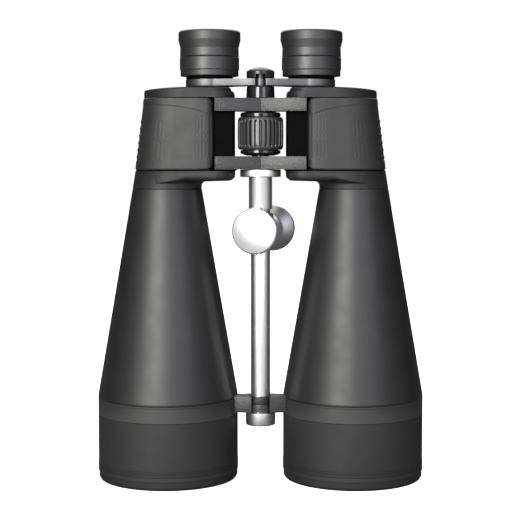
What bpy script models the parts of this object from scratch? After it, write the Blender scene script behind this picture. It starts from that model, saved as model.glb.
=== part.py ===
"""Astronomy binoculars of the 20x80 Porro prism kind, standing on their objective hoods.

All dimensions below are millimetres; MM turns them into the scene's metres. +Z runs from the objectives
up to the eyepieces, +X to the right hand side and +Y away from the front of the hinge. The two halves fold
about the hinge axle, the eyepieces rack on the focus spindle, and the tripod adapter rides on the brace rod.
"""

import math

import bmesh
import bpy
from mathutils import Matrix, Vector

MM = 0.001
GAP = 0.3
SIDES = (("left", -1), ("right", 1))

# Axes, all vertical
BARREL_X = 65.2
EYE_X, EYE_Y = 35.6, 5.0
HINGE_Y = -9.0
FOLDED_X, FOLDED_Y = 52.9, 17.3  # where the light passes from the upper prism to the lower one

# Heights
HOOD_TOP = 46.0
BAND_TOP = 57.5
TUBE_TOP = 203.7
PLATE_LOW, PLATE_TOP = 209.4, 216.0
HOUSING_TOP = 266.0
COVER_LOW, COVER_TOP = 266.3, 274.0
SHELF_LOW, SHELF_TOP = 239.6, 242.4
BRIDGE_LOW, BRIDGE_TOP = 274.6, 279.4

# Objective end
HOOD_R, RIB_BAND_R, HOOD_BORE_R = 49.2, 49.35, 44.6
SPIGOT_R, NECK_R = 46.4, 24.1
CELL_R, LENS_R, CLEAR_R = 42.3, 41.1, 40.0

# Prism housing, seen from above
INNER_X = 18.1
STEP_X = 31.7
FRONT_Y, SET_BACK_Y, BACK_Y = -25.0, -19.9, 34.4
OUTER_X, TAPER = 85.6, 5.6
WALL, TUBE_WALL, ARMOUR = 2.2, 2.8, 2.2
PRISM_LEG, PRISM_WIDTH = 21.2, 20.0

# Hinge
AXLE_R, KNUCKLE_R, ARM_END_X = 6.0, 10.2, 31.1
ARM_HEIGHT = 8.9
ARM_LOWS = (("upper", 257.0), ("lower", 217.3))
ROD_R, ROD_KNUCKLE_R = 6.75, 8.1

# Eyepieces
BARREL_R, GUIDE_R = 10.9, 12.4
RING_R, HEAD_R, RIM_R = 16.6, 20.7, 21.7
TOP = 313.0

# Tripod adapter
ADAPTER_Z, ADAPTER_YAW = 175.0, math.radians(15)
BUSH_R, FOOT_R, KNOB_R = 8.95, 16.5, 16.0

# Colour, roughness and metallic value of each finish
FINISHES = {
    "satin_paint": ((0.045, 0.046, 0.050), 0.42, 0.0),
    "textured_paint": ((0.075, 0.076, 0.082), 0.60, 0.0),
    "rubber": ((0.040, 0.040, 0.042), 0.78, 0.0),
    "gloss_black": ((0.010, 0.010, 0.011), 0.16, 0.0),
    "matt_black": ((0.012, 0.012, 0.013), 0.90, 0.0),
    "satin_metal": ((0.42, 0.42, 0.43), 0.32, 1.0),
    "bright_metal": ((0.80, 0.80, 0.81), 0.12, 1.0),
    "brass": ((0.62, 0.48, 0.22), 0.35, 1.0),
    "coated_glass": ((0.30, 0.24, 0.42), 0.03, 0.0),
}


# ---------------------------------------------------------------- scene and materials


def start_scene():
    """An empty scene with one collection for the parts and a hidden one for the cutters."""
    for old in list(bpy.data.objects):
        bpy.data.objects.remove(old, do_unlink=True)
    parts = bpy.data.collections.new("astronomy_binoculars")
    cutters = bpy.data.collections.new("cutters")
    cutters.hide_render = True
    for collection in (parts, cutters):
        bpy.context.scene.collection.children.link(collection)
    return parts, cutters


def material(name, finish):
    colour, roughness, metallic = FINISHES[finish]
    made = bpy.data.materials.new(name)
    made.use_nodes = True
    shader = made.node_tree.nodes["Principled BSDF"]
    shader.inputs["Base Color"].default_value = (*colour, 1.0)
    shader.inputs["Roughness"].default_value = roughness
    shader.inputs["Metallic"].default_value = metallic
    return made


def joint_empty(name, x, y, parent=None):
    """An empty on a joint's axis, which the pieces of that body hang from."""
    empty = bpy.data.objects.new(name, None)
    PARTS.objects.link(empty)
    empty.empty_display_size = 10 * MM
    hang(empty, parent, (x, y, 0.0))
    return empty


def hang(thing, parent, place):
    """Puts a thing at a place in the world, under its parent."""
    offset = Vector((0, 0, 0))
    above = parent
    while above is not None:
        offset += above.location
        above = above.parent
    thing.parent = parent
    thing.location = Vector(place) * MM - offset


def finish_part(mesh, name, finish, parent, place, smooth=True):
    """Makes the node: its object, its own material and its shading."""
    thing = bpy.data.objects.new(name, mesh)
    mesh.name = name
    mesh.materials.append(material(name, finish))
    PARTS.objects.link(thing)
    hang(thing, parent, place)
    if smooth:
        mesh.shade_smooth()
        mesh.set_sharp_from_angle(angle=math.radians(35))
    return thing


def helper(mesh, name, parent, place):
    """A solid used only in a Boolean: it is drawn as wire and never rendered."""
    thing = bpy.data.objects.new(name, mesh)
    CUTTERS.objects.link(thing)
    thing.hide_render = True
    thing.display_type = "WIRE"
    hang(thing, parent, place)
    return thing


def combine(thing, other, operation):
    step = thing.modifiers.new(other.name, "BOOLEAN")
    step.operation = operation
    step.solver = "EXACT"
    step.object = other


# ---------------------------------------------------------------- shapes


def mesh_of(built):
    """The mesh of a bmesh, with its faces turned outwards."""
    mesh = bpy.data.meshes.new("shape")
    bmesh.ops.recalc_face_normals(built, faces=built.faces)
    built.to_mesh(mesh)
    built.free()
    return mesh


def drum(radius, low, high, steps=24):
    """A plain cylinder about the local Z axis."""
    built = bmesh.new()
    place = Matrix.Translation((0, 0, (low + high) / 2 * MM))
    bmesh.ops.create_cone(
        built, cap_ends=True, segments=steps, radius1=radius * MM, radius2=radius * MM,
        depth=(high - low) * MM, matrix=place,
    )
    return mesh_of(built)


def block(low, high):
    """A box between two corners."""
    built = bmesh.new()
    low, high = Vector(low) * MM, Vector(high) * MM
    place = Matrix.Translation((low + high) / 2) @ Matrix.Diagonal((*(high - low), 1.0))
    bmesh.ops.create_cube(built, size=1.0, matrix=place)
    return mesh_of(built)


def turned(profile, steps=20):
    """A profile of (radius, height) points, outer side downwards, turned about the local Z axis.

    A profile that starts and ends on the axis makes a solid piece, and any other closes on itself as a ring.
    """
    built = bmesh.new()
    corners = [built.verts.new((radius * MM, 0.0, height * MM)) for radius, height in profile]
    for first, second in zip(corners, corners[1:]):
        built.edges.new((first, second))
    if profile[0][0] > 0:
        built.edges.new((corners[-1], corners[0]))
    mesh = bpy.data.meshes.new("profile")
    built.to_mesh(mesh)
    built.free()
    spun = bpy.data.objects.new("profile", mesh)
    CUTTERS.objects.link(spun)
    screw = spun.modifiers.new("turn", "SCREW")
    screw.steps = steps
    screw.render_steps = steps
    screw.use_merge_vertices = True
    screw.merge_threshold = 0.00001
    screw.use_normal_calculate = True
    return evaluated_mesh(spun)


def evaluated_mesh(thing):
    """The mesh of an object after its modifiers, welded and facing out; the object itself is removed."""
    graph = bpy.context.evaluated_depsgraph_get()
    mesh = bpy.data.meshes.new_from_object(thing.evaluated_get(graph))
    bpy.data.objects.remove(thing, do_unlink=True)
    built = bmesh.new()
    built.from_mesh(mesh)
    bmesh.ops.remove_doubles(built, verts=built.verts, dist=0.00001)
    bpy.data.meshes.remove(mesh)
    return mesh_of(built)


def rounded(corners, side=1):
    """An outline whose corners (x, y, radius, steps) are rounded with arcs; side -1 mirrors it in X."""
    outline = []
    for index, (x, y, radius, steps) in enumerate(corners):
        corner = Vector((x, y))
        before = (Vector(corners[index - 1][:2]) - corner).normalized()
        after = (Vector(corners[(index + 1) % len(corners)][:2]) - corner).normalized()
        if radius == 0:
            outline.append(corner)
            continue
        half = before.angle(after) / 2
        centre = corner + (before + after).normalized() * radius / math.sin(half)
        start = corner + before * radius / math.tan(half) - centre
        end = corner + after * radius / math.tan(half) - centre
        first = math.atan2(start.y, start.x)
        sweep = (math.atan2(end.y, end.x) - first + math.pi) % math.tau - math.pi
        for step in range(steps + 1):
            angle = first + sweep * step / steps
            outline.append(centre + radius * Vector((math.cos(angle), math.sin(angle))))
    return [(point.x * side, point.y) for point in outline]


def plate(outline, low, high):
    """A flat outline with a thickness, made as a filled 2D curve and turned into a mesh."""
    curve = bpy.data.curves.new("outline", "CURVE")
    curve.dimensions = "2D"
    curve.fill_mode = "BOTH"
    curve.extrude = (high - low) / 2 * MM
    spline = curve.splines.new("POLY")
    spline.points.add(len(outline) - 1)
    for point, (x, y) in zip(spline.points, outline):
        point.co = (x * MM, y * MM, 0.0, 1.0)
    spline.use_cyclic_u = True
    drawn = bpy.data.objects.new("outline", curve)
    CUTTERS.objects.link(drawn)
    mesh = evaluated_mesh(drawn)
    mesh.transform(Matrix.Translation((0, 0, (low + high) / 2 * MM)))
    return mesh


def loft(sections):
    """A closed body through outlines of equal length, each given as (outline, height)."""
    built = bmesh.new()
    rows = [
        [built.verts.new((x * MM, y * MM, height * MM)) for x, y in outline] for outline, height in sections
    ]
    for low, high in zip(rows, rows[1:]):
        for index in range(len(low)):
            following = (index + 1) % len(low)
            built.faces.new((low[index], low[following], high[following], high[index]))
    built.faces.new(rows[0])
    built.faces.new(rows[-1])
    return mesh_of(built)


# ---------------------------------------------------------------- outlines of the housing


def housing_outline(side, inset, outer):
    """The housing's plan: set back at its inner front corner, where the hinge arms lie."""
    return rounded(
        [
            (INNER_X + inset, SET_BACK_Y + inset, max(2.0 - inset, 0.0), 2),
            (STEP_X + inset, SET_BACK_Y + inset, 0.0, 0),
            (STEP_X + inset, FRONT_Y + inset, 0.0, 0),
            (outer - inset, FRONT_Y + inset, 23.0 - inset, 5),
            (outer - inset, BACK_Y - inset, 22.0 - inset, 5),
            (INNER_X + inset, BACK_Y - inset, 9.0 - inset, 2),
        ],
        side,
    )


def armour_outline(side, outer):
    """The plan of the rubber skin, which lies round the front, the outer side and the back."""
    far, near = ARMOUR, GAP
    start = STEP_X - GAP
    return rounded(
        [
            (start, FRONT_Y - far, 1.0, 1),
            (outer + far, FRONT_Y - far, 23.0 + far, 5),
            (outer + far, BACK_Y + far, 22.0 + far, 5),
            (start, BACK_Y + far, 1.0, 1),
            (start, BACK_Y + near, 0.0, 0),
            (outer + near, BACK_Y + near, 22.0 + near, 5),
            (outer + near, FRONT_Y - near, 23.0 + near, 5),
            (start, FRONT_Y - near, 0.0, 0),
        ],
        side,
    )


def lid_outline(side, inner, inset, outer):
    """The plan of the top cover and of the base plate, over the housing and its skin."""
    return rounded(
        [
            (inner, FRONT_Y - 1.8 + inset, 4.0, 2),
            (outer - inset, FRONT_Y - 1.8 + inset, 24.0 - inset, 5),
            (outer - inset, BACK_Y + 1.8 - inset, 23.0 - inset, 5),
            (inner, BACK_Y + 1.8 - inset, 9.0 - inset, 2),
        ],
        side,
    )


# ---------------------------------------------------------------- the two halves


def make_objective(name, parent, place):
    """The hood, the tube, the cell and the air-spaced doublet, which share the barrel's axis."""
    hood = [
        (HOOD_R, HOOD_TOP), (HOOD_R, 13.4), (RIB_BAND_R, 13.2), (RIB_BAND_R, 6.4), (HOOD_R - 0.2, 6.2),
        (HOOD_R - 0.3, 1.6), (47.8, 0.0), (45.6, 0.0), (HOOD_BORE_R, 1.2), (HOOD_BORE_R, 25.7),
        (SPIGOT_R + 0.35, 25.7), (SPIGOT_R + 0.35, HOOD_TOP),
    ]
    tube = [
        (NECK_R, TUBE_TOP), (HOOD_R - 0.1, BAND_TOP + GAP), (SPIGOT_R, BAND_TOP + GAP), (SPIGOT_R, 26.0),
        (CELL_R + 0.4, 26.0), (CELL_R + 0.4, BAND_TOP - 3.0), (HOOD_R - 0.2 - TUBE_WALL, BAND_TOP + 3.0),
        (NECK_R - WALL, TUBE_TOP),
    ]
    cell = [
        (CELL_R, 50.0), (CELL_R, 28.6), (CLEAR_R, 28.6), (CLEAR_R, 31.2), (LENS_R + 0.35, 31.2),
        (LENS_R + 0.35, 50.0),
    ]
    crown = [(0, 39.0), (20, 38.2), (LENS_R, 35.6), (LENS_R, 31.5), (20, 28.9), (0, 28.1)]
    flint = [(0, 43.6), (LENS_R, 43.0), (LENS_R, 36.0), (20, 38.6), (0, 39.4)]
    ring = [(LENS_R, 46.6), (LENS_R, 44.0), (37.8, 44.0), (37.8, 46.6)]
    for part, profile, finish, steps in (
        ("objective_hood", hood, "rubber", 32),
        ("objective_tube", tube, "satin_paint", 32),
        ("objective_cell", cell, "matt_black", 24),
        ("objective_crown_lens", crown, "coated_glass", 24),
        ("objective_flint_lens", flint, "coated_glass", 24),
        ("lens_retaining_ring", ring, "matt_black", 24),
    ):
        finish_part(turned(profile, steps), f"{name}_{part}", finish, parent, place)


def make_band(name, side, parent):
    """The ring round the tube and its lug, whose knuckle runs on the brace rod."""
    place = (side * BARREL_X, 0, 0)
    ring = [
        (HOOD_R, BAND_TOP), (HOOD_R, HOOD_TOP + GAP), (SPIGOT_R + 0.35, HOOD_TOP + GAP),
        (SPIGOT_R + 0.35, BAND_TOP),
    ]
    band = finish_part(turned(ring, 32), f"{name}_bridge_band", "satin_paint", parent, place)
    low, high, split = 48.0, 59.3, 53.4
    own = (split, high) if side > 0 else (low, split - GAP)
    other = (low - 1, split) if side > 0 else (split - GAP, high + 1)
    outline = [(side * x, y) for x, y in ((0.0, -17.1), (19.5, -14.2), (19.5, -3.5), (0.0, -0.9))]
    tube_room = [(0, 62), (HOOD_R + 0.3, 62), (HOOD_R + 0.3, BAND_TOP), (SPIGOT_R + 0.35, BAND_TOP),
                 (SPIGOT_R + 0.35, 44), (0, 44)]
    lug = helper(plate(outline, low, high), f"{name}_lug", parent, (0, 0, 0))
    room = helper(drum(ROD_KNUCKLE_R + 0.5, *other), f"{name}_lug_room", parent, (0, HINGE_Y, 0))
    knuckle = helper(drum(ROD_KNUCKLE_R, *own), f"{name}_rod_knuckle", parent, (0, HINGE_Y, 0))
    hole = helper(drum(ROD_R + 0.4, low - 2, high + 2), f"{name}_rod_hole", parent, (0, HINGE_Y, 0))
    bore = helper(turned(tube_room, 32), f"{name}_tube_room", parent, place)
    combine(lug, room, "DIFFERENCE")
    combine(lug, knuckle, "UNION")
    combine(lug, hole, "DIFFERENCE")
    combine(lug, bore, "DIFFERENCE")
    combine(band, lug, "UNION")


def make_housing(name, side, parent):
    """The housing, its armour, its lid and its base plate with the neck that meets the tube."""
    place = (0, 0, 0)
    top_outer = OUTER_X - TAPER
    body = loft([
        (housing_outline(side, 0, OUTER_X), PLATE_TOP + GAP),
        (housing_outline(side, 0, top_outer), HOUSING_TOP),
    ])
    housing = finish_part(body, f"{name}_prism_housing", "matt_black", parent, place)
    hollow = helper(
        loft([
            (housing_outline(side, WALL, OUTER_X), PLATE_TOP - 1),
            (housing_outline(side, WALL, top_outer), HOUSING_TOP + 1),
        ]),
        f"{name}_prism_room", parent, place,
    )
    combine(housing, hollow, "DIFFERENCE")

    skin = loft([(armour_outline(side, OUTER_X), 217.0), (armour_outline(side, top_outer), HOUSING_TOP)])
    finish_part(skin, f"{name}_grip_armour", "rubber", parent, place)

    outer = top_outer + 2.0
    cover = finish_part(
        loft([
            (lid_outline(side, INNER_X + GAP, 0.0, outer), COVER_LOW),
            (lid_outline(side, INNER_X + GAP, 0.0, outer), 270.6),
            (lid_outline(side, INNER_X + 2.4, 0.1, outer), 270.9),
            (lid_outline(side, INNER_X + 2.5, 0.8, outer), 273.0),
            (lid_outline(side, INNER_X + 2.8, 2.6, outer), COVER_TOP),
        ]),
        f"{name}_top_cover", "satin_paint", parent, place,
    )
    hole = helper(drum(GUIDE_R + GAP + 0.1, 260, 280), f"{name}_eye_hole", parent, (side * EYE_X, EYE_Y, 0))
    combine(cover, hole, "DIFFERENCE")

    outer = OUTER_X + 2.0
    base = finish_part(
        loft([
            (lid_outline(side, INNER_X + 3.0, 3.0, outer), PLATE_LOW),
            (lid_outline(side, INNER_X + 1.0, 1.0, outer), PLATE_LOW + 1.0),
            (lid_outline(side, INNER_X, 0.0, outer), PLATE_LOW + 3.3),
            (lid_outline(side, INNER_X, 0.0, outer), PLATE_TOP),
        ]),
        f"{name}_base_plate", "satin_paint", parent, place,
    )
    axis = (side * BARREL_X, 0, 0)
    neck = [(0, 212.0), (NECK_R - 1.3, 212.0), (NECK_R, TUBE_TOP + GAP), (0, TUBE_TOP + GAP)]
    combine(base, helper(turned(neck, 32), f"{name}_neck", parent, axis), "UNION")
    combine(base, helper(drum(NECK_R - 3.6, 200, 220, 32), f"{name}_light_hole", parent, axis), "DIFFERENCE")


def make_prisms(name, side, parent):
    """The shelf with its three windows, and the two Porro prisms that stand on it and hang from it."""
    stops = [(BARREL_X, 0.0), (FOLDED_X, FOLDED_Y), (EYE_X, EYE_Y)]
    rise = (SHELF_LOW - PLATE_TOP) / (HOUSING_TOP - PLATE_TOP)
    outline = housing_outline(side, WALL + 0.4, OUTER_X - TAPER * rise - 0.6)
    shelf = finish_part(
        plate(outline, SHELF_LOW, SHELF_TOP), f"{name}_prism_shelf", "satin_metal", parent, (0, 0, 0)
    )
    for index, (x, y) in enumerate(stops):
        hole = drum(9.2, SHELF_LOW - 2, SHELF_TOP + 2)
        window = helper(hole, f"{name}_window_{index}", parent, (side * x, y, 0))
        combine(shelf, window, "DIFFERENCE")
    for part, first, second, base, way in (
        ("upper_prism", stops[0], stops[1], SHELF_TOP + GAP, 1),
        ("lower_prism", stops[1], stops[2], SHELF_LOW - GAP, -1),
    ):
        ground = 1.5
        profile = [
            (-PRISM_LEG + ground, 0.0), (PRISM_LEG - ground, 0.0), (PRISM_LEG - ground, ground),
            (ground, PRISM_LEG - ground), (-ground, PRISM_LEG - ground), (-PRISM_LEG + ground, ground),
        ]
        prism = plate(profile, -PRISM_WIDTH / 2, PRISM_WIDTH / 2)
        along = Vector((side * (second[0] - first[0]), second[1] - first[1], 0)).normalized()
        up = Vector((0, 0, way))
        turn = Matrix((along, up, along.cross(up))).transposed().to_4x4()
        prism.transform(turn)
        middle = (side * (first[0] + second[0]) / 2, (first[1] + second[1]) / 2, base)
        finish_part(prism, f"{name}_{part}", "coated_glass", parent, middle, smooth=False)


def make_hinge_arm(name, side, level, low, parent):
    """An arm from the housing to the axle: a full-height wing in front, and a half-height knuckle."""
    high = low + ARM_HEIGHT
    split = low + 4.3
    own = (low, split) if side > 0 else (split + GAP, high)
    other = (split, high + 1) if side > 0 else (low - 1, split + GAP)
    wing = [
        (0.15, -21.0), (ARM_END_X, FRONT_Y - ARMOUR), (ARM_END_X, SET_BACK_Y - GAP),
        (INNER_X - GAP, SET_BACK_Y - GAP), (INNER_X - GAP, 0.3), (0.15, 0.3),
    ]
    outline = [(side * x, y) for x, y in wing]
    arm = finish_part(
        plate(outline, low, high), f"{name}_hinge_arm_{level}", "textured_paint", parent, (0, 0, 0)
    )
    at = (0, HINGE_Y, 0)
    label = f"{name}_{level}"
    combine(arm, helper(drum(KNUCKLE_R + GAP, *other), f"{label}_room", parent, at), "DIFFERENCE")
    combine(arm, helper(drum(KNUCKLE_R, *own), f"{label}_knuckle", parent, at), "UNION")
    combine(arm, helper(drum(AXLE_R + 0.4, low - 2, high + 2), f"{label}_hole", parent, at), "DIFFERENCE")


def make_bridge_arm(name, side, parent):
    """The arm that carries the eyepiece on the focus spindle; its hook is open at the front."""
    eye = (side * EYE_X, EYE_Y, 0)
    at = (0, HINGE_Y, 0)
    low, high, split = BRIDGE_LOW + 0.1, BRIDGE_TOP - 0.1, 276.9
    own = (low, split) if side > 0 else (split + GAP, high)
    other = (split, high + 1) if side > 0 else (low - 1, split + GAP)
    bar = [(side * x, y) for x, y in ((3.6, -18.6), (31.0, -11.0), (26.0, 17.5), (4.0, -0.8))]
    arm = finish_part(
        plate(bar, low, high), f"{name}_bridge_arm", "satin_metal", parent, (0, 0, 0)
    )
    slot = block((-3.6, -20, low - 2), (3.6, HINGE_Y, high + 2))
    combine(arm, helper(drum(8.9, *other), f"{name}_bridge_room", parent, at), "DIFFERENCE")
    combine(arm, helper(drum(8.6, *own), f"{name}_bridge_knuckle", parent, at), "UNION")
    combine(arm, helper(drum(RING_R, low, high), f"{name}_bridge_ring", parent, eye), "UNION")
    hole = drum(BARREL_R + 0.35, low - 2, high + 2)
    combine(arm, helper(hole, f"{name}_ring_hole", parent, eye), "DIFFERENCE")
    combine(arm, helper(drum(4.8, low - 2, high + 2), f"{name}_spindle_hole", parent, at), "DIFFERENCE")
    combine(arm, helper(slot, f"{name}_hook_slot", parent, (0, 0, 0)), "DIFFERENCE")


def make_eyepiece(name, side, body, racked, ocular, ring_body, ring_name):
    """The guide in the cover, the racked barrel with its field lens, the ocular cell, ring and eyecup."""
    eye = (side * EYE_X, EYE_Y, 0)
    guide = [(GUIDE_R, COVER_TOP), (GUIDE_R, 259.2), (BARREL_R + 0.3, 259.2), (BARREL_R + 0.3, COVER_TOP)]
    barrel = [
        (15.4, 294.0), (15.4, 283.4), (16.3, 283.4), (16.3, BRIDGE_TOP + GAP), (BARREL_R, BRIDGE_TOP + GAP),
        (BARREL_R, 246.0), (9.4, 246.0), (9.4, 281.5), (13.4, 281.5), (13.4, 294.0),
    ]
    cell = [
        (13.1, 300.6), (13.1, 283.0), (11.2, 283.0), (11.2, 299.5), (9.8, 299.5), (9.8, 300.6),
    ]
    ring = [
        (17.0, 301.6), (17.0, 294.9), (HEAD_R, 294.9), (HEAD_R, 286.0), (HEAD_R - 0.4, 285.4),
        (HEAD_R - 0.4, 281.6), (16.65, 281.6), (16.65, 283.8), (15.75, 283.8), (15.75, 301.6),
    ]
    eyecup = [
        (18.6, TOP), (20.6, TOP), (RIM_R - 0.2, 311.8), (RIM_R, 306.3), (20.4, 301.4), (20.4, 297.0),
        (HEAD_R, 295.2), (17.35, 295.2), (17.35, 302.2), (12.0, 302.2), (12.0, 303.6), (14.5, 304.6),
        (17.8, 311.5),
    ]
    field_lens = [(0, 250.8), (9.1, 249.6), (9.1, 247.5), (0, 247.5)]
    eye_lens = [(0, 299.3), (9.5, 298.4), (10.9, 297.9), (10.9, 294.5), (0, 294.5)]
    for part, profile, finish, parent in (
        ("eyepiece_guide", guide, "satin_metal", body),
        ("eyepiece_barrel", barrel, "matt_black", racked),
        ("field_lens", field_lens, "coated_glass", racked),
        ("ocular_cell", cell, "matt_black", ocular),
        ("eye_lens", eye_lens, "coated_glass", ocular),
        (ring_name, ring, "rubber", ring_body),
        ("eyecup", eyecup, "rubber", ring_body),
    ):
        finish_part(turned(profile), f"{name}_{part}", finish, parent, eye)
    make_bridge_arm(name, side, racked)


# ---------------------------------------------------------------- the centre


def make_centre(centre, wheel, spindle):
    """The axle with its post, the socket that joins it to the brace rod, the focus wheel and its spindle."""
    at = (0, HINGE_Y, 0)
    bore = 3.6
    axle = [
        (0, 222.0), (bore, 222.0), (bore, 274.2), (9.6, 274.2), (9.8, COVER_LOW - 0.1),
        (AXLE_R, COVER_LOW - 0.1), (AXLE_R, 213.5), (0, 213.5),
    ]
    socket = [
        (14.1, 217.0), (14.1, 211.9), (8.15, 211.9), (8.15, 189.6), (ROD_R + GAP, 189.6),
        (ROD_R + GAP, 210.6), (AXLE_R + 0.35, 210.6), (AXLE_R + 0.35, 217.0),
    ]
    rod = [(0, 210.3), (ROD_R, 210.3), (ROD_R, 40.9), (0, 40.9)]
    end_cap = [
        (0, 40.6), (ROD_R + GAP, 40.6), (ROD_R + GAP, 47.7), (10.4, 47.7), (10.4, 39.2), (10.0, 38.8),
        (0, 38.8),
    ]
    core = [
        (8.3, 256.7), (8.3, 256.3), (13.9, 256.3), (13.9, 253.3), (12.0, 253.3), (12.0, 230.4), (13.9, 230.4),
        (13.9, 227.4), (8.3, 227.4), (8.3, 226.5), (AXLE_R + 0.4, 226.5), (AXLE_R + 0.4, 256.7),
    ]
    screw = [
        (0, 284.0), (3.2, 284.0), (3.2, 279.5), (4.4, 279.5), (4.4, 274.5), (3.2, 274.5), (3.2, 224.0),
        (0, 224.0),
    ]
    cap = [
        (0, 287.4), (4.0, 286.9), (7.0, 285.9), (8.9, 284.9), (9.6, 284.3), (9.6, 279.8), (3.55, 279.8),
        (3.55, 284.4), (0, 284.4),
    ]
    for name, profile, finish, parent in (
        ("hinge_axle", axle, "gloss_black", centre),
        ("axle_socket", socket, "bright_metal", centre),
        ("brace_rod", rod, "bright_metal", centre),
        ("rod_end_cap", end_cap, "bright_metal", centre),
        ("focus_wheel", core, "gloss_black", wheel),
        ("focus_spindle", screw, "bright_metal", spindle),
        ("spindle_cap", cap, "gloss_black", spindle),
    ):
        made = finish_part(turned(profile), name, finish, parent, at)
    # The last one is the cap, which is open at the front so that the spindle shows.
    combine(made, helper(block((-3.4, -12, 279), (3.4, 0, 282.3)), "cap_slot", spindle, at), "DIFFERENCE")
    make_focus_grip(wheel, at)


def make_focus_grip(wheel, at):
    """The ribbed rubber sleeve: barrel shaped, with upright ribs round it."""
    ribs = 28
    sections = []
    for height, radius in ((230.7, 14.4), (234.5, 15.7), (241.9, 15.9), (249.2, 15.7), (253.0, 14.4)):
        outline = []
        for index in range(2 * ribs):
            angle = math.tau * index / (2 * ribs)
            reach = radius - (0.9 if index % 2 else 0.0)
            outline.append((reach * math.cos(angle), reach * math.sin(angle)))
        sections.append((outline, height))
    grip = finish_part(loft(sections), "focus_grip", "rubber", wheel, at)
    combine(grip, helper(drum(12.35, 228, 256), "grip_hole", wheel, at), "DIFFERENCE")


def make_adapter(bush_body, adapter, shoe_body, knob_body):
    """The tripod adapter: a split bush on the rod, the body with its foot, the clamp shoe and the knob."""
    at = (0, HINGE_Y, ADAPTER_Z)
    bush = finish_part(
        turned([(BUSH_R, 12.0), (BUSH_R, -12.0), (ROD_R + 0.4, -12.0), (ROD_R + 0.4, 12.0)]),
        "adapter_bush", "brass", bush_body, at,
    )
    slit = block((5.0, -0.75, -14.0), (11.0, 0.75, 14.0))
    combine(bush, helper(slit, "bush_slit", bush_body, at), "DIFFERENCE")

    # These are turned about the adapter's own level axis, whose +Z end points to the front.
    lay = Matrix.Rotation(-ADAPTER_YAW, 4, "Z") @ Matrix.Rotation(math.radians(90), 4, "X")
    body = [
        (3.3, 12.1), (13.5, 12.1), (13.5, 9.6), (12.0, 9.6), (12.0, -13.0), (7.0, -15.5), (7.0, -21.0),
        (9.5, -25.5), (FOOT_R, -31.0), (FOOT_R, -34.0), (3.0, -34.0), (3.0, -25.0), (0.0, -25.0), (0.0, 0.0),
        (3.3, 0.0),
    ]
    shoe = [(0, 11.4), (2.7, 11.4), (2.7, 9.9), (0, 9.9)]
    knob = [
        (0, 18.0), (15.2, 18.0), (KNOB_R, 17.2), (KNOB_R, 13.3), (15.2, 12.5), (2.7, 12.5), (2.7, 11.7),
        (0, 11.7),
    ]
    pieces = {}
    for name, profile, finish, parent in (
        ("adapter_body", body, "bright_metal", adapter),
        ("clamp_shoe", shoe, "brass", shoe_body),
        ("lock_knob", knob, "bright_metal", knob_body),
    ):
        mesh = turned(profile)
        mesh.transform(lay)
        pieces[name] = finish_part(mesh, name, finish, parent, at)
    bore = helper(drum(BUSH_R + GAP, -20, 20), "bush_bore", adapter, at)
    combine(pieces["adapter_body"], bore, "DIFFERENCE")


def main():
    centre = joint_empty("centre_axis", 0, HINGE_Y)
    wheel = joint_empty("focus_wheel_axis", 0, HINGE_Y, centre)
    spindle = joint_empty("focus_spindle_axis", 0, HINGE_Y, centre)
    make_centre(centre, wheel, spindle)
    bush = joint_empty("adapter_slide_axis", 0, HINGE_Y, centre)
    adapter = joint_empty("adapter_swivel_axis", 0, HINGE_Y, bush)
    shoe = joint_empty("clamp_shoe_axis", 0, HINGE_Y, adapter)
    knob = joint_empty("lock_knob_axis", 0, HINGE_Y, shoe)
    make_adapter(bush, adapter, shoe, knob)

    for name, side in SIDES:
        half = joint_empty(f"{name}_fold_axis", 0, HINGE_Y, centre)
        racked = joint_empty(f"{name}_rack_axis", side * EYE_X, EYE_Y, half)
        ocular = ring_body = racked
        if name == "right":
            ocular = joint_empty("dioptre_slide_axis", side * EYE_X, EYE_Y, racked)
            ring_body = joint_empty("dioptre_turn_axis", side * EYE_X, EYE_Y, racked)
        ring_name = "dioptre_ring" if name == "right" else "ocular_ring"
        make_objective(name, half, (side * BARREL_X, 0, 0))
        make_band(name, side, half)
        make_housing(name, side, half)
        make_prisms(name, side, half)
        for level, low in ARM_LOWS:
            make_hinge_arm(name, side, level, low, half)
        make_eyepiece(name, side, half, racked, ocular, ring_body, ring_name)


PARTS, CUTTERS = start_scene()
main()
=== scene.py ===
"""Looks of the astronomy binoculars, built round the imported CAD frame.

Places come from the frame's nodes. Shapes are worked out in millimetres and turned into metres by MM.
A turned profile's points are (radius, height, corner radius), with heights from the floor.
"""

import math

import bmesh
import bpy
from mathutils import Matrix, Vector


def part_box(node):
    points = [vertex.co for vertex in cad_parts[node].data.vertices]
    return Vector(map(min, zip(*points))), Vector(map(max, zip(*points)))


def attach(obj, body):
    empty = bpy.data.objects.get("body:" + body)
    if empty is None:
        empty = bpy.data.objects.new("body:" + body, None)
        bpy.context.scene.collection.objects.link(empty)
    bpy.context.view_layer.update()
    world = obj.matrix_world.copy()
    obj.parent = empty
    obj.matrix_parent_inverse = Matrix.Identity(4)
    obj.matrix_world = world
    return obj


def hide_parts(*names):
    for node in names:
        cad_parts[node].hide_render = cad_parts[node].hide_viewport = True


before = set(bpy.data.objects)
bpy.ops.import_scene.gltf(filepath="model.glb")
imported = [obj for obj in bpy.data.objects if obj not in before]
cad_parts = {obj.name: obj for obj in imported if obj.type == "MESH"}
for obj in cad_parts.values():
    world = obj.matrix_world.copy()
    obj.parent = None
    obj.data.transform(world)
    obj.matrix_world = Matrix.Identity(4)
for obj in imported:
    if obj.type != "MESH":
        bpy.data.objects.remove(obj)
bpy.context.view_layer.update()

MM = 0.001

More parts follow.
